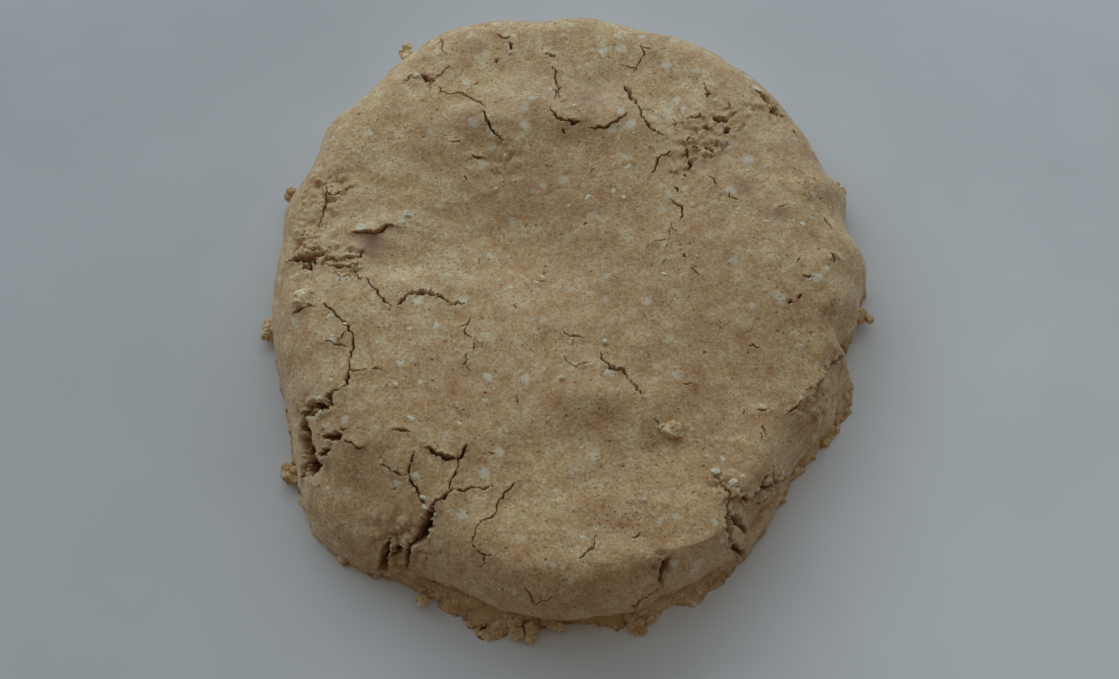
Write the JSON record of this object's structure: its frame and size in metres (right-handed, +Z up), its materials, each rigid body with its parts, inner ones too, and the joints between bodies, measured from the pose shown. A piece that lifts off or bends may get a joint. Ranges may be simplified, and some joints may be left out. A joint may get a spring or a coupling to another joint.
{
  "type": "polvoron dough round",
  "caption": "Thick hand-pressed round of crumbly toasted-flour polvoron dough with a cracked, dimpled top, rounded shoulder and ragged crumbly foot, to be cut into sweets.",
  "frame": {"origin": "centre of the bounding box at the flat underside, where the round rests", "axes": "+Z up; +Y towards the far edge of the picture's view, along the longer diameter; +X to the picture's right"},
  "size_m": [0.1641, 0.1816, 0.0251],
  "materials": {
    "dough": "matte, crumbly, warm beige-brown with pale flecks and fine dark specks"
  },
  "bodies": {
    "root": {"dough": "dough"}
  },
  "joints": []
}
